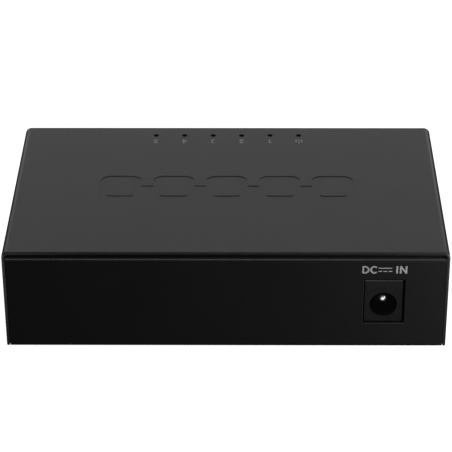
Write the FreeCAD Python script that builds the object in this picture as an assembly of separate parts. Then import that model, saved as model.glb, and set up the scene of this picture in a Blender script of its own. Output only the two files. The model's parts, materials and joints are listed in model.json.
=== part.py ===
import FreeCAD, Part
import math
import os

# Desktop network switch in a folded steel case, in millimetres.
# +Z is up, and the origin is on the resting surface below the middle of the case.
# The ports face -Y, the power socket faces +Y, and +X is on the right of somebody who looks at the ports.
# The circuit board is mounted with its components hanging below it.

V = FreeCAD.Vector
X_AXIS = V(1, 0, 0)
Y_AXIS = V(0, 1, 0)
Z_AXIS = V(0, 0, 1)
PAST = 1.0                      # how far a cutting tool runs past the face that it starts from

# Case
case_width = 100.0
case_depth = 60.2
case_height = 25.35
foot_height = 2.0
foot_radius = 4.0
foot_inset_x = 9.0
foot_inset_y = 8.6
cover_sheet = 0.7
tray_sheet = 0.8
fold_gap = 0.62                 # from the tray's lips up to the cover
side_gap = 0.05                 # between the tray's ends and the cover's sides
cover_lift = 0.55               # from the tray's lowest face up to the cover's lower edges
panel_setback = 0.1             # the tray's panels stand this far behind the cover's edges
cover_fold_radius = 1.5
tray_fold_radius = 1.4          # of the two folds along the floor
lip_fold_radius = 1.1
tray_end_rounding = 0.12        # where the paint rounds the tray's ends
window_rounding = 0.22          # and its windows
corner_lift = 0.15              # how far the floor's lower face rises at the tray's ends
corner_lift_length = 2.6
lip_depth = 5.0
edge_softening = 0.3            # on the cover's outer edges, where the paint rounds them
rim_rounding = 0.3              # on the lower rims of the cover's sides

half_width = case_width / 2
half_depth = case_depth / 2
case_bottom = foot_height
case_top = case_bottom + case_height
cover_bottom = case_bottom + cover_lift
cover_underside = case_top - cover_sheet
tray_half_width = half_width - cover_sheet - side_gap
panel_y = half_depth - panel_setback
lip_top = cover_underside - fold_gap
floor_top = case_bottom + tray_sheet

# Indicators, in a row along the port edge of the cover
indicator_count = 6
indicator_pitch = 7.0
indicator_from_edge = 4.25
indicator_hole_radius = 0.65
indicator_y = -half_depth + indicator_from_edge
indicator_x = [(n - (indicator_count - 1) / 2) * indicator_pitch for n in range(indicator_count)]
led_length = 2.0
led_width = 1.25
led_height = 0.8
baffle_half_length = 20.0
baffle_depth = 3.6
baffle_hole_radius = 0.9
baffle_gap = 0.15

# Pressed mark on the cover: a chain of linked rounded squares
mark_width = 9.7                # of each square, along X
mark_height = 11.2
mark_length = 59.5
mark_stroke = 1.7
mark_corner = 2.4
mark_depth = 0.1
mark_y = 0.42
mark_count = 5

# Cooling slots in the cover's sides
vent_count = 14
vent_pitch = 3.2
vent_width = 1.4
vent_bottom = 14.0
vent_top = 22.0

# Fasteners
screw_radius = 1.45
screw_hole_radius = 1.5
countersink_radius = 2.25
cover_screw_z = 7.5
cover_screw_length = 6.0
tab_width = 12.0
tab_height = 9.0
spacer_across_flats = 5.0
spacer_x = 43.4
spacer_y = 22.0
spacer_tail_radius = 2.0
board_screw_head_radius = 2.7
board_screw_head_height = 1.9
board_screw_length = 5.0
recess_length = 2.6
recess_width = 0.6
recess_depth = 0.8

# Circuit board
board_underside = 20.4
board_thickness = 1.6
board_half_width = 47.0
board_front = -28.6
board_back = 28.4
board_top = board_underside + board_thickness
board_hole_radius = 1.6
solder_tail = 0.6

# Port block: five sockets in one moulding, hung below the board with the latch side up
port_count = 5
port_pitch = 13.97
port_block_half_width = 35.95
port_block_bottom = 6.7
port_block_back = -13.55
shield_sheet = 0.25
shield_gap = 0.05
port_floor = 8.0
port_depth = 14.2
mouth_width = 11.9
mouth_height = 7.0
latch_width = 6.4
latch_step = 1.4
latch_pocket = 3.0
latch_tail_width = 4.0
latch_tail_height = 1.5
mouth_wall = 1.5
shield_mouth_gap = 0.2
port_face = -half_depth + 0.05
moulding_face = port_face + shield_sheet + shield_gap
port_x = [(n - (port_count - 1) / 2) * port_pitch for n in range(port_count)]
port_window_gap = 0.25

# Port contacts: each wire is a fixed leg and a spring that bends at the pivot
contact_count = 8
contact_pitch = 1.02
wire = 0.35
contact_pivot_y = -26.45
contact_pivot_z = port_floor + 0.55
contact_length = 8.5
contact_slope = 13.5            # degrees above the socket's floor, at rest
contact_bend_radius = 0.25
leg_front = -27.2
leg_floor = 7.3
leg_back = -13.0
channel_width = 0.6
channel_bottom = 7.2

# Power socket for a 5.5 mm plug with a 2.1 mm bore
socket_x = -35.5
socket_width = 8.7
socket_height = 10.95
socket_depth = 14.0
socket_recess = 0.15            # the socket's face stands this far behind the panel
socket_flange = 3.5
flange_drop = 0.35              # from the board down to the flange's upper edge
flange_rounding = 0.25
window_gap_above = 0.13
window_gap_below = 0.32
window_gap_left = 0.35          # on the -X side
window_gap_right = 0.15
barrel_z = 13.65
barrel_radius = 3.1
barrel_depth = 11.0
pin_radius = 1.0
pin_tail_radius = 0.8
pin_tip_inset = 2.2
pin_tip_round = 0.9
leaf_width = 2.6
leaf_thickness = 0.3
leaf_pivot_y = 19.8
leaf_pivot_z = 17.7
leaf_length = 5.4
leaf_droop = 14.0               # degrees below level, at rest
leaf_room_back = leaf_pivot_y - 0.8
leaf_room_front = leaf_pivot_y + leaf_length + 0.6
leaf_room_roof = 0.9            # of moulding between the leaf's room and the board
terminal_y = (17.6, 21.6, 25.2)
terminal_width = 2.0
terminal_sheet = 0.5
terminal_reach = 3.0            # below the board
socket_face = panel_y - socket_recess
flange_top = board_underside - flange_drop
flange_bottom = flange_top - socket_height

# Parts that hang below the board
transformer_length = 15.1
transformer_width = 7.1
transformer_height = 5.4
transformer_y = -3.3
transformer_leads = 12
transformer_lead_pitch = 1.27
chip_x = 12.0
chip_y = 14.8
chip_size = 14.0
chip_height = 1.4
chip_leads = 16
chip_lead_pitch = 0.8
chip_standoff = 0.1
pad_thickness = 0.3
sink_base = 1.8
sink_fin_height = 4.6
sink_fin_count = 5
sink_fin_thickness = 1.2
capacitor_radius = 3.15
capacitor_height = 7.7
capacitor_places = [(-25.0, 22.6), (-25.0, 13.8)]
inductor_size = 6.0
inductor_height = 3.0
inductor_places = [(-16.6, 22.6), (-16.6, 14.4)]
regulator_place = (-7.0, 20.0)
memory_place = (30.0, 19.0)
crystal_place = (26.5, 9.6)
passive_length = 1.6
passive_width = 0.8
passive_height = 0.5

# Underside
keyhole_x = 30.0
keyhole_head_radius = 3.5
keyhole_slot_radius = 1.8
keyhole_slot_length = 6.0
label_length = 44.0
label_width = 24.0
label_thickness = 0.12


def box(x0, x1, y0, y1, z0, z1):
    """A box between two corners."""
    return Part.makeBox(x1 - x0, y1 - y0, z1 - z0, V(x0, y0, z0))


def hanging_box(x, y, length_x, length_y, height, gap=0.0):
    """A box centred on a place of the board, which hangs below it."""
    top = board_underside - gap
    return box(x - length_x / 2, x + length_x / 2, y - length_y / 2, y + length_y / 2, top - height, top)


def rod(radius, start, end):
    """A cylinder from one point to another."""
    along = end - start
    return Part.makeCylinder(radius, along.Length, start, along)


def prism(points, along):
    """A closed outline of straight lines, drawn out along a vector."""
    outline = Part.makePolygon(points + [points[0]])
    return Part.Face(outline).extrude(along)


def edges_where(shape, test):
    """The edges whose bounding box passes a test."""
    return [edge for edge in shape.Edges if test(edge.BoundBox)]


def lies_at(low, high, value):
    """Whether a stretch from low to high lies at one value."""
    return abs(low - value) < 1e-4 and abs(high - value) < 1e-4


def joined(shapes):
    """Touching shapes made one solid."""
    return shapes[0].fuse(shapes[1:]).removeSplitter()


def rounded_block(shape, radius, along):
    """A box with the four edges along one axis rounded."""
    spans = {"x": lambda b: b.XLength, "y": lambda b: b.YLength, "z": lambda b: b.ZLength}
    length = spans[along]
    others = [spans[axis] for axis in spans if axis != along]
    chosen = edges_where(shape, lambda b: length(b) > 1e-4 and all(other(b) < 1e-4 for other in others))
    return shape.makeFillet(radius, chosen)


def gull_wing(inner, outer, top, place, turn, width):
    """One lead, from a component's side at inner to its soldered foot at outer, turned about Z."""
    sheet = 0.2
    knee = (inner + outer) / 2
    points = [
        V(inner, 0, top - 1.2),
        V(knee + sheet, 0, top - 1.2),
        V(knee + sheet, 0, top - sheet),
        V(outer, 0, top - sheet),
        V(outer, 0, top),
        V(knee, 0, top),
        V(knee, 0, top - 1.2 + sheet),
        V(inner, 0, top - 1.2 + sheet),
    ]
    lead = prism(points, V(0, width, 0))
    lead.translate(V(0, -width / 2, 0))
    lead.translate(V(0, place, 0))
    lead.rotate(V(0, 0, 0), Z_AXIS, turn)
    return lead


def cross_recess(centre, inward):
    """The cross-shaped driver recess in a screw head, drawn along the X or the Z axis."""
    half = recess_length / 2
    thin = recess_width / 2
    if abs(inward.z) > 0:
        first = box(-half, half, -thin, thin, -recess_depth, recess_depth)
    else:
        first = box(-recess_depth, recess_depth, -half, half, -thin, thin)
    second = first.copy()
    second.rotate(V(0, 0, 0), inward, 90)
    recess = first.fuse(second)
    recess.translate(centre)
    return recess


def top_cover():
    """The folded cover: a top and two sides, open at both ends and below."""
    outer = box(-half_width, half_width, -half_depth, half_depth, cover_bottom, case_top)
    outer = outer.makeFillet(
        cover_fold_radius,
        edges_where(outer, lambda b: b.YLength > case_depth - 1 and lies_at(b.ZMin, b.ZMax, case_top)))
    ends = edges_where(outer, lambda b: b.YLength < 1e-4 and b.ZMax > cover_bottom + PAST)
    outer = outer.makeFillet(edge_softening, ends)
    inner_half = half_width - cover_sheet
    inner = box(-inner_half, inner_half, -half_depth - PAST, half_depth + PAST,
                cover_bottom - PAST, cover_underside)
    inner = inner.makeFillet(
        cover_fold_radius - cover_sheet,
        edges_where(inner, lambda b: b.YLength > case_depth and lies_at(b.ZMin, b.ZMax, cover_underside)))
    cover = outer.cut(inner)
    lower_rims = edges_where(
        cover, lambda b: b.YLength > case_depth - 1 and lies_at(b.ZMin, b.ZMax, cover_bottom))
    cover = cover.makeFillet(rim_rounding, lower_rims)
    cover = cover.cut(indicator_holes() + side_vents() + countersinks())
    return cover.cut(pressed_mark())


def indicator_holes():
    """One round hole above each indicator."""
    low = cover_underside - PAST
    high = case_top + PAST
    return [rod(indicator_hole_radius, V(x, indicator_y, low), V(x, indicator_y, high)) for x in indicator_x]


def side_vents():
    """A row of upright slots with round ends through both sides."""
    slots = []
    reach = half_width + PAST
    for n in range(vent_count):
        y = (n - (vent_count - 1) / 2) * vent_pitch
        slot = box(-reach, reach, y - vent_width / 2, y + vent_width / 2, vent_bottom, vent_top)
        slots.append(rounded_block(slot, vent_width / 2 - 0.01, "x"))
    return slots


def countersinks():
    """A countersunk hole in each side for the cover screws."""
    cones = []
    for side in (-1, 1):
        start = V(side * (half_width + PAST), 0, cover_screw_z)
        small = countersink_radius - cover_sheet
        depth = PAST + cover_sheet + 0.01
        cones.append(Part.makeCone(countersink_radius + PAST, small, depth, start, V(-side, 0, 0)))
    return cones


def pressed_mark():
    """The shallow chain of rounded squares, as the solid that is taken out of the cover's top."""
    low = case_top - mark_depth
    high = case_top + PAST
    gap = (mark_length - mark_count * mark_width) / (mark_count - 1)
    front = mark_y - mark_height / 2
    back = mark_y + mark_height / 2
    rings = []
    for n in range(mark_count):
        x0 = -mark_length / 2 + n * (mark_width + gap)
        x1 = x0 + mark_width
        ring = rounded_block(box(x0, x1, front, back, low, high), mark_corner, "z")
        core = box(x0 + mark_stroke, x1 - mark_stroke, front + mark_stroke, back - mark_stroke, low, high)
        rings.append(ring.cut(rounded_block(core, mark_corner - mark_stroke, "z")))
        if n > 0:
            bar_reach = 0.4
            rings.append(box(x0 - gap - bar_reach, x0 + bar_reach,
                             mark_y - mark_stroke / 2, mark_y + mark_stroke / 2, low, high))
    return joined(rings)


def folded(block, lower_radius, upper_radius):
    """A box with its two lower and its two upper edges along X rounded."""
    low = block.BoundBox.ZMin
    high = block.BoundBox.ZMax
    lower = edges_where(block, lambda b: b.XLength > 1 and b.YLength < 1e-4 and b.ZMax < low + 1e-4)
    block = block.makeFillet(lower_radius, lower)
    upper = edges_where(block, lambda b: b.XLength > 1 and b.YLength < 1e-4 and b.ZMin > high - 1e-4)
    return block.makeFillet(upper_radius, upper)


def base_tray():
    """The folded tray: floor, two panels with lips that turn in under the cover, and two screw tabs."""
    outer = box(-tray_half_width, tray_half_width, -panel_y, panel_y, case_bottom, lip_top)
    outer = folded(outer, tray_fold_radius, lip_fold_radius)
    outer = outer.makeFillet(tray_end_rounding, edges_where(outer, lambda b: b.XLength < 1e-4))
    inner_y = panel_y - tray_sheet
    inner = box(-half_width, half_width, -inner_y, inner_y, floor_top, lip_top - tray_sheet)
    inner = folded(inner, tray_fold_radius - tray_sheet, lip_fold_radius - tray_sheet)
    between_lips = panel_y - lip_depth
    opening = box(-half_width, half_width, -between_lips, between_lips, floor_top + PAST, case_top)
    shell = outer.cut([inner, opening])
    tray = joined([shell] + screw_tabs())
    holes = [port_window(), socket_window(), baffle_notch()] + spacer_holes() + keyholes() + tab_holes()
    tray = tray.cut(holes + corner_reliefs())
    straight = tray_half_width - PAST
    window_rims = edges_where(
        tray, lambda b: (lies_at(b.YMin, b.YMax, panel_y) or lies_at(b.YMin, b.YMax, -panel_y))
        and max(abs(b.XMin), abs(b.XMax)) < straight)
    return tray.makeFillet(window_rounding, window_rims)


def corner_reliefs():
    """The slivers below the floor's two ends, where the sheet lifts towards the fold's end."""
    wedges = []
    for side in (-1, 1):
        end = side * (tray_half_width + PAST)
        start = side * (tray_half_width - corner_lift_length)
        rise = corner_lift * (corner_lift_length + PAST) / corner_lift_length
        low = V(start, -half_depth, case_bottom)
        wedges.append(prism([low, V(end, -half_depth, case_bottom), V(end, -half_depth, case_bottom + rise)],
                            V(0, case_depth, 0)))
    return wedges


def screw_tabs():
    """A tab turned up from the floor at each side, with rounded upper corners."""
    tabs = []
    for side in (-1, 1):
        outside = side * tray_half_width
        inside = side * (tray_half_width - tray_sheet)
        tab = box(min(outside, inside), max(outside, inside), -tab_width / 2, tab_width / 2,
                  case_bottom + tray_sheet / 2, case_bottom + tab_height)
        top = case_bottom + tab_height
        corners = edges_where(tab, lambda b: b.YLength < 1e-4 and lies_at(b.ZMin, b.ZMax, top))
        tabs.append(tab.makeFillet(2.0, corners))
    return tabs


def tab_holes():
    """The tapped holes that the cover screws turn into."""
    holes = []
    for side in (-1, 1):
        start = V(side * (tray_half_width - tray_sheet - PAST), 0, cover_screw_z)
        end = V(side * (tray_half_width + PAST), 0, cover_screw_z)
        holes.append(rod(screw_hole_radius, start, end))
    return holes


def port_window():
    """The window in the port panel for the shielded port block."""
    half = port_block_half_width + shield_sheet + port_window_gap
    bottom = port_block_bottom - shield_sheet - shield_gap - port_window_gap
    return box(-half, half, -half_depth - PAST, -panel_y + tray_sheet + 0.2, bottom, board_underside + 0.2)


def socket_window():
    """The window in the other panel for the power socket."""
    half = socket_width / 2
    return box(socket_x - half - window_gap_left, socket_x + half + window_gap_right,
               panel_y - tray_sheet - PAST, half_depth + PAST,
               flange_bottom - window_gap_below, flange_top + window_gap_above)


def baffle_notch():
    """The recess in the lip that lets the light baffle up to the cover."""
    half = baffle_half_length + 1.0
    front = indicator_y - baffle_depth / 2 - 0.3
    return box(-half, half, front, -panel_y + lip_depth + PAST, lip_top - 2.0, case_top)


def spacer_places():
    """The four places of the board's spacers and screws."""
    return [(x, y) for x in (-spacer_x, spacer_x) for y in (-spacer_y, spacer_y)]


def spacer_holes():
    """The holes in the tray's floor that the spacers are pressed into."""
    low = case_bottom - PAST
    high = floor_top + PAST
    return [rod(spacer_tail_radius, V(x, y, low), V(x, y, high)) for x, y in spacer_places()]


def keyholes():
    """Two keyholes in the tray's floor for hanging the case on a wall."""
    holes = []
    for x in (-keyhole_x, keyhole_x):
        head = rod(keyhole_head_radius, V(x, 0, case_bottom - PAST), V(x, 0, floor_top + PAST))
        end = rod(keyhole_slot_radius, V(x, keyhole_slot_length, case_bottom - PAST),
                  V(x, keyhole_slot_length, floor_top + PAST))
        slot = box(x - keyhole_slot_radius, x + keyhole_slot_radius, 0, keyhole_slot_length,
                   case_bottom - PAST, floor_top + PAST)
        holes.append(joined([head, end, slot]))
    return holes


def rubber_foot(side_x, side_y):
    """A round stick-on foot with a softened lower edge."""
    x = side_x * (half_width - foot_inset_x)
    y = side_y * (half_depth - foot_inset_y)
    foot = rod(foot_radius, V(x, y, 0), V(x, y, foot_height))
    return foot.makeFillet(0.5, edges_where(foot, lambda b: lies_at(b.ZMin, b.ZMax, 0)))


def base_label():
    """The plain label on the underside."""
    half = label_length / 2
    wide = label_width / 2
    label = box(-half, half, -wide, wide, case_bottom - label_thickness, case_bottom)
    return rounded_block(label, 1.5, "z")


def spacers():
    """Four hexagonal spacers, each with a tail pressed into the tray and a tapped hole for a board screw."""
    made = []
    corner = spacer_across_flats / math.sqrt(3)
    for x, y in spacer_places():
        angles = [math.radians(60 * n) for n in range(6)]
        outline = [V(x + corner * math.cos(a), y + corner * math.sin(a), floor_top) for a in angles]
        hexagon = prism(outline, V(0, 0, board_underside - floor_top))
        tail = rod(spacer_tail_radius, V(x, y, case_bottom), V(x, y, floor_top))
        tapped = rod(screw_hole_radius, V(x, y, board_underside - board_screw_length),
                     V(x, y, board_underside + PAST))
        made.append(hexagon.fuse(tail).removeSplitter().cut(tapped))
    return Part.makeCompound(made)


def board_screws():
    """Four pan-head screws that hold the board to its spacers."""
    made = []
    for x, y in spacer_places():
        head_top = board_top + board_screw_head_height
        head = rod(board_screw_head_radius, V(x, y, board_top), V(x, y, head_top))
        head = head.makeFillet(0.7, edges_where(head, lambda b: lies_at(b.ZMin, b.ZMax, head_top)))
        shank = rod(screw_radius, V(x, y, board_top - board_screw_length), V(x, y, board_top))
        made.append(head.fuse(shank).removeSplitter().cut(cross_recess(V(x, y, head_top), Z_AXIS)))
    return Part.makeCompound(made)


def cover_screws():
    """Two countersunk screws, one through each side of the cover."""
    made = []
    for side in (-1, 1):
        face = V(side * (half_width - 0.05), 0, cover_screw_z)
        inward = V(-side, 0, 0)
        head_radius = countersink_radius - 0.1
        head_depth = head_radius - screw_radius
        head = Part.makeCone(head_radius, screw_radius, head_depth, face, inward)
        shank = rod(screw_radius, face + inward * head_depth, face + inward * cover_screw_length)
        made.append(head.fuse(shank).removeSplitter().cut(cross_recess(face, X_AXIS)))
    return Part.makeCompound(made)


def circuit_board():
    """The board, with holes for its screws, the contact legs and the power socket's terminals."""
    board = box(-board_half_width, board_half_width, board_front, board_back, board_underside, board_top)
    board = rounded_block(board, 1.0, "z")
    low = board_underside - PAST
    high = board_top + PAST
    holes = [rod(board_hole_radius, V(x, y, low), V(x, y, high)) for x, y in spacer_places()]
    leg_y = leg_back - wire / 2
    for x in contact_places():
        holes.append(rod(0.4, V(x, leg_y, low), V(x, leg_y, high)))
    for y in terminal_y:
        half = terminal_width / 2 + 0.2
        holes.append(box(socket_x - half, socket_x + half, y - 0.45, y + 0.45, low, high))
    return board.cut(holes)


def contact_places():
    """The X positions of every contact in the port block."""
    return [x + offset for x in port_x for offset in contact_offsets()]


def contact_offsets():
    """The X offsets of the eight contacts from the middle of their socket."""
    return [(n - (contact_count - 1) / 2) * contact_pitch for n in range(contact_count)]


def socket_mouth(x, front, grow):
    """The cross-section of one port's mouth, grown on every side and drawn out through the front wall."""
    back = moulding_face + mouth_wall
    step_top = port_floor + mouth_height + latch_step
    mouth = box(x - mouth_width / 2 - grow, x + mouth_width / 2 + grow, front, back,
                port_floor - grow, port_floor + mouth_height + grow)
    step = box(x - latch_width / 2 - grow, x + latch_width / 2 + grow, front, back,
               port_floor, step_top + grow)
    tail = box(x - latch_tail_width / 2 - grow, x + latch_tail_width / 2 + grow, front, back,
               port_floor, step_top + latch_tail_height + grow)
    return joined([mouth, step, tail])


def port_housing():
    """The black moulding: five sockets side by side, with a channel in each floor for every contact."""
    block = box(-port_block_half_width, port_block_half_width, moulding_face, port_block_back,
                port_block_bottom, board_underside)
    cuts = []
    end = moulding_face + port_depth
    for x in port_x:
        cuts.append(socket_mouth(x, moulding_face - PAST, 0.0))
        cuts.append(box(x - mouth_width / 2, x + mouth_width / 2, moulding_face, end,
                        port_floor, port_floor + mouth_height))
        cuts.append(box(x - latch_width / 2, x + latch_width / 2, moulding_face + mouth_wall, end,
                        port_floor, port_floor + mouth_height + latch_pocket))
    for x in contact_places():
        cuts.append(box(x - channel_width / 2, x + channel_width / 2,
                        leg_front - 0.3, port_block_back + PAST, channel_bottom, port_floor + 0.1))
    return block.cut(cuts)


def port_shield():
    """The thin plated skin on the port block's face, underside, ends and back."""
    out_x = port_block_half_width + shield_gap + shield_sheet
    out_low = port_block_bottom - shield_gap - shield_sheet
    out_back = leg_back + 0.6 + shield_sheet
    skin = box(-out_x, out_x, port_face, out_back, out_low, board_underside)
    hollow = box(-out_x + shield_sheet, out_x - shield_sheet,
                 port_face + shield_sheet, out_back - shield_sheet,
                 out_low + shield_sheet, board_underside + PAST)
    mouths = [socket_mouth(x, port_face - PAST, shield_mouth_gap) for x in port_x]
    return skin.cut([hollow] + mouths)


def contact_springs(x):
    """The eight sprung wires of one port, each rising from its bend towards the back of the socket."""
    made = []
    for offset in contact_offsets():
        left = x + offset - wire / 2
        pivot = V(left, contact_pivot_y, contact_pivot_z)
        bend = rod(contact_bend_radius, pivot, pivot + V(wire, 0, 0))
        beam = box(left, left + wire, contact_pivot_y, contact_pivot_y + contact_length,
                   contact_pivot_z - wire / 2, contact_pivot_z + wire / 2)
        tip_y = contact_pivot_y + contact_length
        tip = edges_where(beam, lambda b: lies_at(b.YMin, b.YMax, tip_y) and b.XLength > wire / 2)
        beam = beam.makeFillet(wire / 2 - 0.01, tip)
        beam.rotate(pivot, X_AXIS, contact_slope)
        made.append(bend.fuse(beam).removeSplitter())
    return Part.makeCompound(made)


def contact_legs():
    """The fixed leg of every contact: along the floor from its bend, then up behind the block."""
    made = []
    for x in contact_places():
        left = x - wire / 2
        front = box(left, left + wire, leg_front, leg_front + wire, leg_floor, contact_pivot_z)
        along = box(left, left + wire, leg_front, leg_back, leg_floor, leg_floor + wire)
        back = box(left, left + wire, leg_back - wire, leg_back, leg_floor, board_top + solder_tail)
        made.append(joined([front, along, back]))
    return Part.makeCompound(made)


def socket_housing():
    """The power socket's moulding: a flange that fills the window, and a barrel closed at the back."""
    half = socket_width / 2
    front = socket_face - socket_flange
    back = socket_face - socket_depth
    flange = box(socket_x - half, socket_x + half, front, socket_face, flange_bottom, flange_top)
    rim = edges_where(flange, lambda b: lies_at(b.YMin, b.YMax, socket_face))
    flange = flange.makeFillet(flange_rounding, rim)
    body = box(socket_x - half + 0.4, socket_x + half - 0.4, back, front,
               flange_bottom + 0.6, board_underside)
    barrel = rod(barrel_radius, V(socket_x, socket_face - barrel_depth, barrel_z),
                 V(socket_x, socket_face + PAST, barrel_z))
    tail = rod(pin_tail_radius, V(socket_x, back - PAST, barrel_z),
               V(socket_x, socket_face - barrel_depth, barrel_z))
    slots = [terminal_slot(y) for y in terminal_y]
    return joined([flange, body]).cut([barrel, tail, leaf_room()] + slots)


def leaf_room():
    """The space over the barrel that the leaf spring moves in."""
    half = leaf_width / 2 + 0.5
    return box(socket_x - half, socket_x + half, leaf_room_back, leaf_room_front,
               barrel_z, board_underside - leaf_room_roof)


def terminal_slot(y):
    """The slot that one terminal is pressed into."""
    wide = terminal_width / 2
    thick = terminal_sheet / 2
    return box(socket_x - wide, socket_x + wide, y - thick, y + thick,
               terminal_foot(y), board_underside + PAST)


def terminal_foot(y):
    """The lower end of a terminal, which stays above the leaf spring's room."""
    over_leaf = leaf_room_back - terminal_sheet < y < leaf_room_front + terminal_sheet
    return board_underside - (leaf_room_roof if over_leaf else terminal_reach)


def socket_pin():
    """The power socket's centre pin, with a thin tail through the back of the moulding."""
    root = V(socket_x, socket_face - barrel_depth, barrel_z)
    tip = V(socket_x, socket_face - pin_tip_inset, barrel_z)
    pin = rod(pin_radius, root, tip)
    pin = pin.makeFillet(pin_tip_round, edges_where(pin, lambda b: lies_at(b.YMin, b.YMax, tip.y)))
    tail = rod(pin_tail_radius, V(socket_x, socket_face - socket_depth - 0.4, barrel_z), root)
    return pin.fuse(tail).removeSplitter()


def socket_spring():
    """The leaf that presses on the plug's sleeve, with its bend at the back."""
    left = socket_x - leaf_width / 2
    pivot = V(left, leaf_pivot_y, leaf_pivot_z)
    bend = rod(leaf_thickness, pivot, pivot + V(leaf_width, 0, 0))
    leaf = box(left, left + leaf_width, leaf_pivot_y, leaf_pivot_y + leaf_length,
               leaf_pivot_z - leaf_thickness / 2, leaf_pivot_z + leaf_thickness / 2)
    leaf.rotate(pivot, X_AXIS, -leaf_droop)
    return bend.fuse(leaf).removeSplitter()


def socket_terminals():
    """Three flat solder terminals from the power socket through the board."""
    made = []
    wide = terminal_width / 2
    thick = terminal_sheet / 2
    for y in terminal_y:
        made.append(box(socket_x - wide, socket_x + wide, y - thick, y + thick,
                        terminal_foot(y), board_top + solder_tail))
    return Part.makeCompound(made)


def indicator_led(x):
    """A surface-mounted LED: a flat base with a narrower lens on it."""
    middle = board_top + led_height * 0.45
    lens_half = led_length * 0.3
    y0 = indicator_y - led_width / 2
    y1 = indicator_y + led_width / 2
    base = box(x - led_length / 2, x + led_length / 2, y0, y1, board_top, middle)
    lens = box(x - lens_half, x + lens_half, y0, y1, middle, board_top + led_height)
    return joined([base, lens])


def light_baffle():
    """The black bar between the board and the cover, with a round light shaft over each LED."""
    top = cover_underside - baffle_gap
    bar = box(-baffle_half_length, baffle_half_length,
              indicator_y - baffle_depth / 2, indicator_y + baffle_depth / 2, board_top, top)
    bar = rounded_block(bar, 0.8, "z")
    cuts = []
    for x in indicator_x:
        cuts.append(rod(baffle_hole_radius, V(x, indicator_y, board_top), V(x, indicator_y, top + PAST)))
        cuts.append(box(x - led_length / 2 - 0.3, x + led_length / 2 + 0.3,
                        indicator_y - led_width / 2 - 0.3, indicator_y + led_width / 2 + 0.3,
                        board_top - PAST, board_top + led_height + 0.3))
    return bar.cut(cuts)


def port_transformer(x):
    """The isolating transformer module behind one port, with leads along both long sides."""
    body = hanging_box(x, transformer_y, transformer_width, transformer_length, transformer_height, 0.3)
    body = rounded_block(body, 0.4, "z")
    leads = []
    for n in range(transformer_leads):
        place = (n - (transformer_leads - 1) / 2) * transformer_lead_pitch
        for turn in (0, 180):
            side = transformer_width / 2
            leads.append(gull_wing(side, side + 1.5, 0.0, place, turn, 0.4))
    for lead in leads:
        lead.translate(V(x, transformer_y, board_underside))
    return joined([body] + leads)


def switch_chip():
    """The square switch chip, with leads on all four sides."""
    body = hanging_box(chip_x, chip_y, chip_size, chip_size, chip_height, chip_standoff)
    leads = []
    for n in range(chip_leads):
        place = (n - (chip_leads - 1) / 2) * chip_lead_pitch
        for turn in (0, 90, 180, 270):
            leads.append(gull_wing(chip_size / 2, chip_size / 2 + 1.0, 0.0, place, turn, 0.35))
    for lead in leads:
        lead.translate(V(chip_x, chip_y, board_underside))
    return joined([body] + leads)


def chip_face():
    """The height of the chip's lower face."""
    return board_underside - chip_standoff - chip_height


def thermal_pad():
    """The soft pad between the chip and its heat sink."""
    half = chip_size / 2 - 0.5
    top = chip_face()
    return box(chip_x - half, chip_x + half, chip_y - half, chip_y + half, top - pad_thickness, top)


def heat_sink():
    """The finned heat sink below the switch chip."""
    half = chip_size / 2
    top = chip_face() - pad_thickness
    base = box(chip_x - half, chip_x + half, chip_y - half, chip_y + half, top - sink_base, top)
    fins = [base]
    spread = (chip_size - sink_fin_thickness) / (sink_fin_count - 1)
    for n in range(sink_fin_count):
        x0 = chip_x - half + n * spread
        fins.append(box(x0, x0 + sink_fin_thickness, chip_y - half, chip_y + half,
                        top - sink_base - sink_fin_height, top - sink_base))
    return joined(fins)


def smoothing_capacitor(x, y):
    """A can capacitor on a square base, with a crimp groove round the can."""
    base = hanging_box(x, y, 2 * capacitor_radius + 0.4, 2 * capacitor_radius + 0.4, 1.2, 0.0)
    base = rounded_block(base, 0.8, "z")
    bottom = board_underside - capacitor_height
    can = rod(capacitor_radius, V(x, y, bottom), V(x, y, board_underside - 1.2))
    can = can.makeFillet(0.4, edges_where(can, lambda b: lies_at(b.ZMin, b.ZMax, bottom)))
    groove = Part.makeTorus(capacitor_radius + 0.1, 0.3, V(x, y, board_underside - 2.4))
    return joined([base, can.cut(groove)])


def power_inductor(x, y):
    """A shielded inductor with cut corners."""
    block = hanging_box(x, y, inductor_size, inductor_size, inductor_height)
    upright = edges_where(block, lambda b: b.XLength < 1e-4 and b.YLength < 1e-4)
    return block.makeChamfer(1.2, upright)


def voltage_regulator():
    """The regulator: a small body, one wide tab and three narrow legs."""
    x, y = regulator_place
    body = hanging_box(x, y, 6.5, 3.5, 1.6, 0.1)
    tab = hanging_box(x, y + 2.5, 3.0, 1.6, 0.4)
    legs = [hanging_box(x + offset, y - 2.5, 0.7, 1.6, 0.4) for offset in (-2.3, 0, 2.3)]
    return joined([body, tab] + legs)


def memory_chip():
    """The eight-lead configuration memory."""
    x, y = memory_place
    body = hanging_box(x, y, 4.0, 5.0, 1.5, 0.1)
    leads = []
    for n in range(4):
        place = (n - 1.5) * 1.27
        for turn in (0, 180):
            leads.append(gull_wing(2.0, 3.0, 0.0, place, turn, 0.4))
    for lead in leads:
        lead.translate(V(x, y, board_underside))
    return joined([body] + leads)


def timing_crystal():
    """The flat metal can of the timing crystal."""
    x, y = crystal_place
    return rounded_block(hanging_box(x, y, 5.0, 3.2, 1.1), 0.5, "z")


def passive_places():
    """Rows of small components beside the chip and between the power parts."""
    rows = [(x, y) for x in (23.6, 36.0) for y in (14.0, 16.0, 18.0, 20.0, 22.0, 24.0)]
    rows += [(x, 25.8) for x in (4.0, 7.0, 10.0, 13.0, 16.0, 19.0)]
    rows += [(-10.6 + 2.4 * n, 12.0) for n in range(5)]
    return rows


def chip_passives():
    """Chip resistors and capacitors, a group of separate solids."""
    size = (passive_length, passive_width, passive_height)
    return Part.makeCompound([hanging_box(x, y, *size) for x, y in passive_places()])


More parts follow.
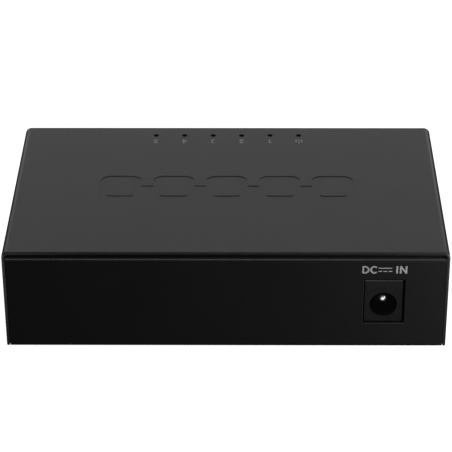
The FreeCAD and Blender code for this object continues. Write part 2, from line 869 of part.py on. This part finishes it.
def all_nodes():
    """Every sub-part by name."""
    nodes = {
        "top_cover": top_cover(),
        "base_tray": base_tray(),
        "base_label": base_label(),
        "board_spacers": spacers(),
        "board_screws": board_screws(),
        "cover_screws": cover_screws(),
        "circuit_board": circuit_board(),
        "port_housing": port_housing(),
        "port_shield": port_shield(),
        "port_contact_legs": contact_legs(),
        "power_socket_housing": socket_housing(),
        "power_socket_pin": socket_pin(),
        "power_socket_spring": socket_spring(),
        "power_socket_terminals": socket_terminals(),
        "light_baffle": light_baffle(),
        "switch_chip": switch_chip(),
        "thermal_pad": thermal_pad(),
        "heat_sink": heat_sink(),
        "timing_crystal": timing_crystal(),
        "voltage_regulator": voltage_regulator(),
        "memory_chip": memory_chip(),
        "chip_passives": chip_passives(),
    }
    for row, side_y in (("front", -1), ("rear", 1)):
        for column, side_x in (("left", -1), ("right", 1)):
            nodes[f"foot_{row}_{column}"] = rubber_foot(side_x, side_y)
    for n, x in enumerate(port_x, start=1):
        nodes[f"port_{n}_contacts"] = contact_springs(x)
        nodes[f"port_{n}_transformer"] = port_transformer(x)
    for n, x in enumerate(indicator_x):
        name = "power" if n == 0 else f"port_{n}"
        nodes[f"led_{name}"] = indicator_led(x)
    for n, (x, y) in enumerate(capacitor_places, start=1):
        nodes[f"capacitor_{n}"] = smoothing_capacitor(x, y)
    for n, (x, y) in enumerate(inductor_places, start=1):
        nodes[f"inductor_{n}"] = power_inductor(x, y)
    return nodes


os.makedirs("parts", exist_ok=True)
for node_name, node_shape in all_nodes().items():
    node_shape.exportStep(f"parts/{node_name}.step")
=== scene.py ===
import json
import math

import bmesh
import bpy
from mathutils import Matrix, Vector


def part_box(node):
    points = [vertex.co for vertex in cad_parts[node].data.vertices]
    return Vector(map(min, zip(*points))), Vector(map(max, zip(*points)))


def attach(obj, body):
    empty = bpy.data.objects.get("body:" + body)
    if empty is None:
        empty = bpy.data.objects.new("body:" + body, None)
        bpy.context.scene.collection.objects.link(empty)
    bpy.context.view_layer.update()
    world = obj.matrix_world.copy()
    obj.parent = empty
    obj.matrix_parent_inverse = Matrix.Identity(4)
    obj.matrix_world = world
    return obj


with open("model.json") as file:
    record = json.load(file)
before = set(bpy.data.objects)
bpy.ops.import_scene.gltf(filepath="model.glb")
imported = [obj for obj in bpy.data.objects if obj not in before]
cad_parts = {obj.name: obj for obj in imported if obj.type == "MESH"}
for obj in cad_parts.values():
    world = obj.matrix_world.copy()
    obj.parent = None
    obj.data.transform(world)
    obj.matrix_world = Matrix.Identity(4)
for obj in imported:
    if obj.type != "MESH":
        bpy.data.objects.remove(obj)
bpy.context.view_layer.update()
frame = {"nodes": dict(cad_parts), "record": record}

MM = 0.001
ROOT = "case"                         # the body that every new piece rides on


# ---------------------------------------------------------------- node helpers

class Shader:
    """A material's node tree with short calls for the nodes that the finishes below share."""

    def __init__(self, name):
        self.material = bpy.data.materials.new(name)
        self.material.use_nodes = True
        self.tree = self.material.node_tree
        self.tree.nodes.clear()
        self.output = self.node("ShaderNodeOutputMaterial")
        self.surface = self.node("ShaderNodeBsdfPrincipled")
        self.join(self.surface.outputs["BSDF"], self.output.inputs["Surface"])
        self.place = self.node("ShaderNodeTexCoord").outputs["Object"]

    def node(self, kind, **settings):
        """A new node with its settings."""
        made = self.tree.nodes.new(kind)
        for key, value in settings.items():
            setattr(made, key, value)
        return made

    def join(self, source, target):
        """A link from an output socket to an input socket."""
        self.tree.links.new(source, target)

    def set(self, **values):
        """Numbers and colours on the shader's own sockets, with underscores for the spaces in their names."""
        for key, value in values.items():
            self.surface.inputs[key.replace("_", " ")].default_value = value
        return self

    def noise(self, size, detail=2.0, place=None):
        """Noise whose grains are about size metres across."""
        made = self.node("ShaderNodeTexNoise")
        made.inputs["Scale"].default_value = 1 / size
        made.inputs["Detail"].default_value = detail
        made.inputs["Roughness"].default_value = 0.5
        self.join(place or self.place, made.inputs["Vector"])
        return made.outputs["Fac"]

    def pebbles(self, size):
        """Rounded cells about size metres across, as a height."""
        made = self.node("ShaderNodeTexVoronoi", feature="SMOOTH_F1")
        made.inputs["Scale"].default_value = 1 / size
        made.inputs["Smoothness"].default_value = 0.6
        self.join(self.place, made.inputs["Vector"])
        return made.outputs["Distance"]

    def stretched(self, x=1.0, y=1.0, z=1.0):
        """The object's own coordinates, multiplied along each axis."""
        made = self.node("ShaderNodeMapping")
        made.inputs["Scale"].default_value = (x, y, z)
        self.join(self.place, made.inputs["Vector"])
        return made.outputs["Vector"]

    def spread(self, value, low, high, start=0.3, end=0.7):
        """A value read from start to end, spread between two numbers."""
        made = self.node("ShaderNodeMapRange")
        made.inputs["From Min"].default_value = start
        made.inputs["From Max"].default_value = end
        made.inputs["To Min"].default_value = low
        made.inputs["To Max"].default_value = high
        self.join(value, made.inputs["Value"])
        return made.outputs["Result"]

    def blend(self, factor, first, second):
        """A colour between two colours, or between the colours that two sockets give."""
        made = self.node("ShaderNodeMix", data_type="RGBA")
        sockets = [s for s in made.inputs if s.type == "RGBA"]
        for socket, colour in zip(sockets, (first, second)):
            if isinstance(colour, bpy.types.NodeSocket):
                self.join(colour, socket)
            else:
                socket.default_value = (*colour, 1)
        self.join(factor, made.inputs["Factor"])
        return next(s for s in made.outputs if s.type == "RGBA")

    def math(self, operation, first, second):
        """The result of a sum on two numbers or two sockets."""
        made = self.node("ShaderNodeMath", operation=operation)
        for socket, value in zip(made.inputs, (first, second)):
            if isinstance(value, bpy.types.NodeSocket):
                self.join(value, socket)
            else:
                socket.default_value = value
        return made.outputs[0]

    def bump(self, height, distance, under=None):
        """Surface relief that is distance metres deep, over another relief if one is given."""
        made = self.node("ShaderNodeBump")
        made.inputs["Strength"].default_value = 1.0
        made.inputs["Distance"].default_value = distance
        self.join(height, made.inputs["Height"])
        if under:
            self.join(under, made.inputs["Normal"])
        return made.outputs["Normal"]

    def finish(self, colour=None, roughness=None, normal=None):
        """Joins what varies over the surface to the shader, and gives the material."""
        for name, source in (("Base Color", colour), ("Roughness", roughness), ("Normal", normal)):
            if source:
                self.join(source, self.surface.inputs[name])
        return self.material


# ---------------------------------------------------------------- finishes

def powder_coat():
    """Fine-grained black powder coat: small pebbles under a finer grain, on very faintly uneven paint."""
    s = Shader("case_paint").set(Specular_IOR_Level=0.5)
    cloud = s.noise(14 * MM, detail=4)
    speck = s.noise(0.16 * MM, detail=1)
    colour = s.blend(s.spread(cloud, 0, 1), (0.0120, 0.0120, 0.0122), (0.0132, 0.0132, 0.0134))
    colour = s.blend(s.spread(speck, 0, 0.35, 0.6, 0.8), colour, (0.03, 0.03, 0.03))
    rough = s.math("ADD", s.spread(cloud, 0.325, 0.34), s.spread(speck, -0.03, 0.05))
    relief = s.bump(s.pebbles(0.42 * MM), 0.012 * MM)
    relief = s.bump(s.noise(0.15 * MM, detail=2), 0.006 * MM, under=relief)
    return s.finish(colour, rough, relief)


def screen_print():
    """Light grey ink that takes a little of the paint's grain."""
    s = Shader("marking_ink").set(Specular_IOR_Level=0.3)
    colour = s.blend(s.spread(s.noise(0.2 * MM), 0, 1), (0.385, 0.385, 0.39), (0.455, 0.455, 0.46))
    return s.finish(colour, s.spread(s.noise(0.4 * MM), 0.5, 0.65), s.bump(s.noise(0.25 * MM), 0.006 * MM))


def black_plastic():
    """Moulded black plastic with a fine spark-eroded grain."""
    s = Shader("socket_plastic").set(Specular_IOR_Level=0.45)
    colour = s.blend(s.spread(s.noise(3 * MM), 0, 1), (0.010, 0.010, 0.0105), (0.014, 0.014, 0.0145))
    relief = s.bump(s.noise(0.11 * MM, detail=3), 0.006 * MM)
    return s.finish(colour, s.spread(s.noise(0.6 * MM), 0.36, 0.46), relief)


def rubber():
    """Matt black rubber with a dusty bloom."""
    s = Shader("rubber").set(Specular_IOR_Level=0.3, Sheen_Weight=0.15, Sheen_Roughness=0.6)
    bloom = s.spread(s.noise(1.5 * MM, detail=5), 0, 1)
    colour = s.blend(bloom, (0.014, 0.014, 0.014), (0.032, 0.032, 0.031))
    relief = s.bump(s.noise(0.2 * MM, detail=4), 0.02 * MM)
    return s.finish(colour, s.spread(s.noise(0.5 * MM), 0.68, 0.85), relief)


def plated_steel(name, light, dark, rough, run=(1, 1, 1)):
    """Plated steel with faint rolling lines and cloudy patches."""
    s = Shader(name).set(Metallic=1.0)
    lines = s.noise(0.12 * MM, detail=3, place=s.stretched(*run))
    clouds = s.noise(2.5 * MM, detail=4)
    colour = s.blend(s.spread(clouds, 0, 1), dark, light)
    roughness = s.math("ADD", s.spread(lines, rough - 0.03, rough + 0.04), s.spread(clouds, -0.02, 0.02))
    return s.finish(colour, roughness, s.bump(lines, 0.003 * MM))


def gold_wire():
    """Gold plating over nickel, thinner in places."""
    s = Shader("contact_gold").set(Metallic=1.0)
    wear = s.spread(s.noise(0.8 * MM, detail=5), 0, 1, 0.45, 0.75)
    colour = s.blend(wear, (0.83, 0.56, 0.20), (0.66, 0.50, 0.28))
    return s.finish(colour, s.spread(s.noise(0.3 * MM), 0.16, 0.28), s.bump(s.noise(0.1 * MM), 0.002 * MM))


def solder_mask():
    """Green solder mask over glass weave, with the copper areas showing through a shade lighter."""
    s = Shader("board_laminate").set(Specular_IOR_Level=0.5)
    weave = s.node("ShaderNodeTexWave", wave_type="BANDS", bands_direction="DIAGONAL")
    weave.inputs["Scale"].default_value = 0.9 / MM
    weave.inputs["Distortion"].default_value = 1.5
    s.join(s.place, weave.inputs["Vector"])
    copper = s.spread(s.noise(7 * MM, detail=0), 0, 1, 0.48, 0.52)
    colour = s.blend(copper, (0.006, 0.052, 0.022), (0.012, 0.095, 0.036))
    return s.finish(colour, s.spread(s.noise(1.0 * MM), 0.22, 0.34), s.bump(weave.outputs["Fac"], 0.006 * MM))


def moulded_epoxy():
    """Dull dark-grey chip package."""
    s = Shader("chip_package").set(Specular_IOR_Level=0.35)
    filler = s.spread(s.noise(0.25 * MM, detail=4), 0, 1)
    colour = s.blend(filler, (0.016, 0.016, 0.017), (0.028, 0.028, 0.028))
    relief = s.bump(s.noise(0.1 * MM, detail=3), 0.008 * MM)
    return s.finish(colour, s.spread(s.noise(1.2 * MM), 0.55, 0.7), relief)


def chip_ceramic():
    """Tan ceramic with a slight mottle."""
    s = Shader("chip_ceramic").set(Specular_IOR_Level=0.5)
    colour = s.blend(s.spread(s.noise(0.3 * MM, detail=3), 0, 1), (0.30, 0.20, 0.11), (0.44, 0.33, 0.21))
    return s.finish(colour, s.spread(s.noise(0.4 * MM), 0.3, 0.5), s.bump(s.noise(0.08 * MM), 0.004 * MM))


def silicone_pad():
    """Soft grey filled silicone."""
    s = Shader("pad_silicone").set(Specular_IOR_Level=0.3)
    colour = s.blend(s.spread(s.noise(0.2 * MM, detail=4), 0, 1), (0.16, 0.17, 0.19), (0.26, 0.27, 0.29))
    return s.finish(colour, s.spread(s.noise(0.7 * MM), 0.7, 0.85), s.bump(s.noise(0.15 * MM), 0.01 * MM))


def extruded_aluminium():
    """Extruded aluminium with die lines along the fins."""
    s = Shader("sink_aluminium").set(Metallic=1.0)
    lines = s.noise(0.15 * MM, detail=3, place=s.stretched(1, 0.02, 1))
    colour = s.blend(s.spread(s.noise(2 * MM), 0, 1), (0.62, 0.62, 0.63), (0.74, 0.74, 0.75))
    return s.finish(colour, s.spread(lines, 0.26, 0.4), s.bump(lines, 0.006 * MM))


def led_epoxy():
    """Milky clear epoxy over the LED's die."""
    s = Shader("led_lens").set(Specular_IOR_Level=0.5, Transmission_Weight=0.25, IOR=1.52)
    colour = s.blend(s.spread(s.noise(0.3 * MM, detail=2), 0, 1), (0.55, 0.56, 0.50), (0.68, 0.68, 0.62))
    return s.finish(colour, s.spread(s.noise(0.3 * MM), 0.14, 0.25), s.bump(s.noise(0.1 * MM), 0.003 * MM))


def label_film():
    """Silver-grey label film with a fibrous tooth."""
    s = Shader("label_stock").set(Specular_IOR_Level=0.4)
    fibres = s.noise(0.2 * MM, detail=5, place=s.stretched(0.3, 1, 1))
    colour = s.blend(s.spread(fibres, 0, 1), (0.50, 0.50, 0.50), (0.58, 0.58, 0.575))
    return s.finish(colour, s.spread(s.noise(0.8 * MM), 0.42, 0.55), s.bump(fibres, 0.006 * MM))


FINISHES = {
    "case_paint": powder_coat(),
    "marking_ink": screen_print(),
    "rubber": rubber(),
    "label_stock": label_film(),
    "zinc_steel": plated_steel("zinc_steel", (0.62, 0.63, 0.65), (0.50, 0.51, 0.53), 0.3),
    "black_steel": plated_steel("black_steel", (0.045, 0.045, 0.048), (0.03, 0.03, 0.032), 0.38),
    "board_laminate": solder_mask(),
    "socket_plastic": black_plastic(),
    "shield_tin": plated_steel("shield_tin", (0.74, 0.74, 0.72), (0.67, 0.67, 0.65), 0.27, run=(0.03, 1, 1)),
    "contact_gold": gold_wire(),
    "contact_nickel": plated_steel("contact_nickel", (0.78, 0.77, 0.73), (0.68, 0.67, 0.63), 0.34),
    "chip_package": moulded_epoxy(),
    "chip_ceramic": chip_ceramic(),
    "pad_silicone": silicone_pad(),
    "sink_aluminium": extruded_aluminium(),
    "led_lens": led_epoxy(),
}


def paint_cad_nodes():
    """Every carried-over node takes the finish of its own material slot."""
    for part in frame["record"]["subparts"]:
        node = frame["nodes"][part["node"]]
        for slot in node.material_slots:
            slot.material = FINISHES[part["material_slot"]]


# ---------------------------------------------------------------- printed marks

INK = 0.012 * MM                      # how far the ink stands on the paint
WEIGHT = 0.185                        # a letter's stroke, as a share of its height
DEGREES_PER_STEP = 9                  # how finely the letters' curves are drawn


def to_mesh(made, name):
    """A mesh from bmesh's faces, with its normals outward."""
    mesh = bpy.data.meshes.new(name)
    bmesh.ops.recalc_face_normals(made, faces=made.faces)
    made.to_mesh(mesh)
    made.free()
    return mesh


def curve(centre, radii, start, end):
    """Points along part of an ellipse, from one angle to another in degrees."""
    steps = math.ceil(abs(end - start) / DEGREES_PER_STEP)
    turns = [math.radians(start + (end - start) * n / steps) for n in range(steps + 1)]
    return [(centre[0] + radii[0] * math.cos(t), centre[1] + radii[1] * math.sin(t)) for t in turns]


def band(centre, outer, start, end):
    """The outline of an arc-shaped stroke."""
    inner = (outer[0] - WEIGHT, outer[1] - WEIGHT)
    return curve(centre, outer, start, end) + curve(centre, inner, end, start)


def block(x0, x1, y0, y1):
    """The outline of a straight stroke."""
    return [(x0, y0), (x1, y0), (x1, y1), (x0, y1)]


# Each letter, numeral and symbol is a list of outlines about one unit high.
# lay_print gives it its printed size.

def letter_c():
    """An open ring."""
    return [band((0.40, 0.5), (0.40, 0.5), 42, 318)]


def letter_d():
    """A stem and a bowl, and the hole between them."""
    w, bowl, reach, half = WEIGHT, (0.28, 0.5), 0.46, 0.5
    outside = [(0, 0)] + curve(bowl, (reach, half), -90, 90) + [(0, 1)]
    inside = [(w, w)] + curve(bowl, (reach - w, half - w), -90, 90) + [(w, 1 - w)]
    return [outside, inside]


def letter_i():
    """A single stem."""
    return [block(0, WEIGHT, 0, 1)]


def letter_n():
    """Two stems and a diagonal."""
    w, full, slope = WEIGHT, 0.78, 0.33
    return [[(0, 0), (w, 0), (w, 1 - slope), (full - w, 0), (full, 0),
             (full, 1), (full - w, 1), (full - w, slope), (w, 1), (0, 1)]]


def numeral_1():
    """A stem and a short flag."""
    stem = 0.22
    right = stem + WEIGHT
    return [[(stem, 0), (right, 0), (right, 1), (0.25, 1), (0, 0.80), (0, 0.62), (stem, 0.76)]]


def numeral_2():
    """A hook, a diagonal and a foot."""
    w, top = WEIGHT, (0.29, 0.70)
    over = curve(top, (0.29, 0.30), 172, -28)
    under = curve(top, (0.29 - w, 0.30 - w), -22, 172)
    return [over + [(0.30, w), (0.58, w), (0.58, 0), (0, 0), (0, w * 0.9)] + under]


def numeral_3():
    """Two open bowls, one over the other."""
    w, top, low = WEIGHT, (0.27, 0.735), (0.28, 0.285)
    outside = curve(top, (0.26, 0.265), 165, -48) + curve(low, (0.30, 0.285), 52, -162)
    inside = curve(low, (0.30 - w, 0.285 - w), -162, 88) + curve(top, (0.26 - w, 0.265 - w), -88, 165)
    return [outside + inside]


def numeral_4():
    """A stem, a bar and a diagonal, and the triangle between them."""
    stem, low, high = 0.36, 0.20, 0.37
    right = stem + WEIGHT
    outside = [(stem, 0), (right, 0), (right, low), (0.66, low), (0.66, high), (right, high), (right, 1),
               (0.33, 1), (0, high), (0, low), (stem, low)]
    return [outside, [(stem, high), (stem, 0.76), (0.155, high)]]


def numeral_5():
    """A bowl below a flag."""
    w, bowl = WEIGHT, (0.27, 0.325)
    outside = curve(bowl, (0.30, 0.325), -165, 118)
    inside = curve(bowl, (0.30 - w, 0.325 - w), 128, -165)
    flag = [(0.20, 1 - w), (0.52, 1 - w), (0.52, 1), (0.07, 1), (0.02, 0.45), (0.15, 0.42)]
    return [outside + flag + inside]


def power_symbol():
    """An open ring with an upright bar through its gap."""
    half = WEIGHT / 2
    return [band((0.5, 0.45), (0.5, 0.45), 126, 414), block(0.5 - half, 0.5 + half, 0.48, 1)]


def direct_current_symbol():
    """A whole line over a line of three dashes."""
    line, rise, dash, pitch, count = 0.25, 0.90, 0.76, 1.09, 3
    whole = block(0, (count - 1) * pitch + dash, rise, rise + line)
    return [whole] + [block(n * pitch, n * pitch + dash, 0, line) for n in range(count)]


def solid_marks(loops):
    """A mesh one unit thick from closed outlines in the XY plane. An outline inside another is its hole."""
    made = bmesh.new()
    edges = []
    for loop in loops:
        corners = [made.verts.new((x, y, 0)) for x, y in loop]
        edges += [made.edges.new((a, b)) for a, b in zip(corners, corners[1:] + corners[:1])]
    bmesh.ops.triangle_fill(made, use_beauty=True, edges=edges, normal=(0, 0, 1))
    lifted = bmesh.ops.extrude_face_region(made, geom=made.faces[:])["geom"]
    for vertex in (item for item in lifted if isinstance(item, bmesh.types.BMVert)):
        vertex.co.z = 1
    return to_mesh(made, "marks")


def lay_print(name, mesh, middle, right, up, width, height):
    """Stretches an outline to a size and lays it on a surface that faces along right x up."""
    low = Vector([min(v.co[i] for v in mesh.vertices) for i in range(3)])
    high = Vector([max(v.co[i] for v in mesh.vertices) for i in range(3)])
    size = high - low
    flatten = Matrix.Diagonal((width / size.x, height / size.y, 2 * INK / size.z, 1))
    centre = Matrix.Translation(-(low + high) / 2)
    facing = right.cross(up)
    turn = Matrix((right, up, facing)).transposed().to_4x4()
    mesh.transform(Matrix.Translation(middle) @ turn @ flatten @ centre)
    mesh.update()
    piece = bpy.data.objects.new(name, mesh)
    bpy.context.collection.objects.link(piece)
    mesh.materials.append(FINISHES["marking_ink"])
    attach(piece, ROOT)


def indicator_labels():
    """A numeral or the power symbol beside each indicator hole, upright for somebody at the ports."""
    right, up = Vector((1, 0, 0)), Vector((0, 1, 0))
    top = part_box("top_cover")[1].z
    back_from_led = 3.05 * MM
    marks = {                         # each outline's width and height, in millimetres
        "power": (power_symbol, 1.95, 1.95),
        "1": (numeral_1, 0.75, 2.0),
        "2": (numeral_2, 1.1, 2.0),
        "3": (numeral_3, 1.1, 2.0),
        "4": (numeral_4, 1.2, 2.0),
        "5": (numeral_5, 1.1, 2.0),
    }
    for mark, (outline, width, height) in marks.items():
        low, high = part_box("led_power" if mark == "power" else f"led_port_{mark}")
        middle = Vector(((low.x + high.x) / 2, (low.y + high.y) / 2 + back_from_led, top))
        lay_print(f"print_{mark}", solid_marks(outline()), middle, right, up, width * MM, height * MM)


def socket_marking():
    """The generic marking over the power socket: letters on both sides of the direct-current symbol."""
    right, up = Vector((-1, 0, 0)), Vector((0, 0, 1))
    low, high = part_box("power_socket_housing")
    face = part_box("base_tray")[1].y
    sideways, above_socket = 0.15 * MM, 2.46 * MM
    centre = Vector(((low.x + high.x) / 2 - sideways, face, high.z + above_socket))
    marks = {                         # how far along the line, width and height, in millimetres
        "d": (letter_d, -4.35, 1.60, 1.96),
        "c": (letter_c, -2.60, 1.62, 2.0),
        "dc_symbol": (direct_current_symbol, 0.0, 3.05, 1.065),
        "i": (letter_i, 2.62, 0.40, 1.96),
        "n": (letter_n, 4.05, 1.65, 1.96),
    }
    for mark, (outline, along, width, height) in marks.items():
        lay_print(f"print_{mark}", solid_marks(outline()), centre + right * along * MM, right, up,
                  width * MM, height * MM)


# ---------------------------------------------------------------- studio

def floor():
    """A pale, bright floor that doesn't show in the object's reflections, so that the paint stays dark."""
    half_size, albedo, brightness = 6, 0.86, 0.93
    made = bmesh.new()
    bmesh.ops.create_grid(made, x_segments=2, y_segments=2, size=half_size)
    piece = bpy.data.objects.new("floor", to_mesh(made, "floor"))
    bpy.context.collection.objects.link(piece)
    piece.visible_glossy = False
    piece.visible_diffuse = False
    s = Shader("floor").set(Specular_IOR_Level=0.0, Roughness=0.9, Base_Color=(albedo, albedo, albedo, 1),
                            Emission_Color=(1, 1, 1, 1), Emission_Strength=brightness)
    piece.data.materials.append(s.material)


def background(tree, strength):
    """An even white world of one strength."""
    made = tree.nodes.new("ShaderNodeBackground")
    made.inputs["Color"].default_value = (1, 1, 1, 1)
    made.inputs["Strength"].default_value = strength
    return made.outputs["Background"]


def surroundings():
    """A white backdrop for the camera, and a faint even glow for everything else."""
    backdrop_strength, glow_strength = 1.0, 0.034
    world = bpy.data.worlds.new("studio")
    bpy.context.scene.world = world
    world.use_nodes = True
    tree = world.node_tree
    tree.nodes.clear()
    path = tree.nodes.new("ShaderNodeLightPath")
    mix = tree.nodes.new("ShaderNodeMixShader")
    output = tree.nodes.new("ShaderNodeOutputWorld")
    tree.links.new(path.outputs["Is Camera Ray"], mix.inputs["Fac"])
    tree.links.new(background(tree, glow_strength), mix.inputs[1])
    tree.links.new(background(tree, backdrop_strength), mix.inputs[2])
    tree.links.new(mix.outputs[0], output.inputs["Surface"])


def area_light(name, place, target, size, watts, only=None, skip=None):
    """A rectangular light that the camera doesn't see. It may light only one CAD node, or all but one."""
    light = bpy.data.lights.new(name, "AREA")
    light.shape = "RECTANGLE"
    light.size, light.size_y = size
    light.energy = watts
    holder = bpy.data.objects.new(name, light)
    bpy.context.collection.objects.link(holder)
    holder.location = place
    holder.rotation_euler = (Vector(target) - Vector(place)).to_track_quat("-Z", "Y").to_euler()
    holder.visible_camera = False
    if only or skip:
        chosen = bpy.data.collections.new(name)
        chosen.objects.link(frame["nodes"][only or skip])
        if skip:
            chosen.collection_objects[0].light_linking.link_state = "EXCLUDE"
        holder.light_linking.receiver_collection = chosen


def soft_boxes():
    """Two boxes beyond the object that graze the top, a strip in front, and low strips on three sides."""
    middle = (0, 0, 0.02)
    low_strip = 0.12
    area_light("far_low", (0.0, -1.3, 0.35), middle, (1.6, 0.3), 2.52)
    area_light("far_high", (0.0, -0.9, 1.1), middle, (1.6, 0.6), 4.23)
    area_light("front_strip", (0.0, 1.25, 0.47), (0, 0.03, 0.02), (0.6, 0.12), 1.68)
    area_light("side_right", (-0.9, 0.1, 0.07), middle, (0.6, low_strip), 0.8)
    area_light("side_left", (0.9, 0.1, 0.07), middle, (0.6, low_strip), 0.8)
    area_light("port_low", (0.0, -0.9, 0.07), middle, (1.2, low_strip), 0.35)


def small_cards():
    """Cards near the socket's panel, in place of the light that the table in front of it throws back."""
    socket = "power_socket_housing"
    area_light("socket_fill", (-0.105, 0.085, 0.03), (-0.045, 0.03, 0.012), (0.04, 0.04), 0.062, skip=socket)
    area_light("socket_card", (-0.0355, 0.11, 0.03), (-0.0355, 0.03, 0.014), (0.04, 0.03), 0.021, only=socket)
    sides = {"left": 1, "right": -1}
    for name, side in sides.items():
        place, target = (side * 0.09, 0.06, 0.008), (side * 0.05, 0.03, 0.015)
        area_light(f"edge_{name}", place, target, (0.03, 0.012), 0.012, only="top_cover")
    rim_watts = {"left": 0.0004, "right": 0.00015}
    for name, side in sides.items():
        place, target = (side * 0.053, 0.055, 0.004), (side * 0.0496, 0.03, 0.014)
        area_light(f"rim_{name}", place, target, (0.016, 0.012), rim_watts[name], only="top_cover")
    area_light("pin_card", (-0.0355, 0.053, 0.003), (-0.0355, 0.028, 0.0137), (0.03, 0.015), 0.0035,
               only="power_socket_pin")


def camera():
    """Looks at the power-socket side from above, with a long lens."""
    data = bpy.data.cameras.new("camera")
    data.sensor_width = 36
    data.lens = 160.885
    place = (-0.0039095, 0.4145763, 0.2581511)
    lowered, turned, rolled = (math.radians(a) for a in (30.2206, -0.5644, -0.2232))
    flat = math.cos(lowered)
    forward = Vector((-math.sin(turned) * flat, -math.cos(turned) * flat, -math.sin(lowered)))
    level = Vector((-math.cos(turned), math.sin(turned), 0))
    upright = level.cross(forward)
    right = level * math.cos(rolled) + upright * math.sin(rolled)
    up = upright * math.cos(rolled) - level * math.sin(rolled)
    turn = Matrix((right, up, -forward)).transposed().to_4x4()
    holder = bpy.data.objects.new("camera", data)
    bpy.context.collection.objects.link(holder)
    holder.matrix_world = Matrix.Translation(place) @ turn
    bpy.context.scene.camera = holder


paint_cad_nodes()
indicator_labels()
socket_marking()
floor()
surroundings()
soft_boxes()
small_cards()
camera()
bpy.context.scene.view_settings.view_transform = "Standard"
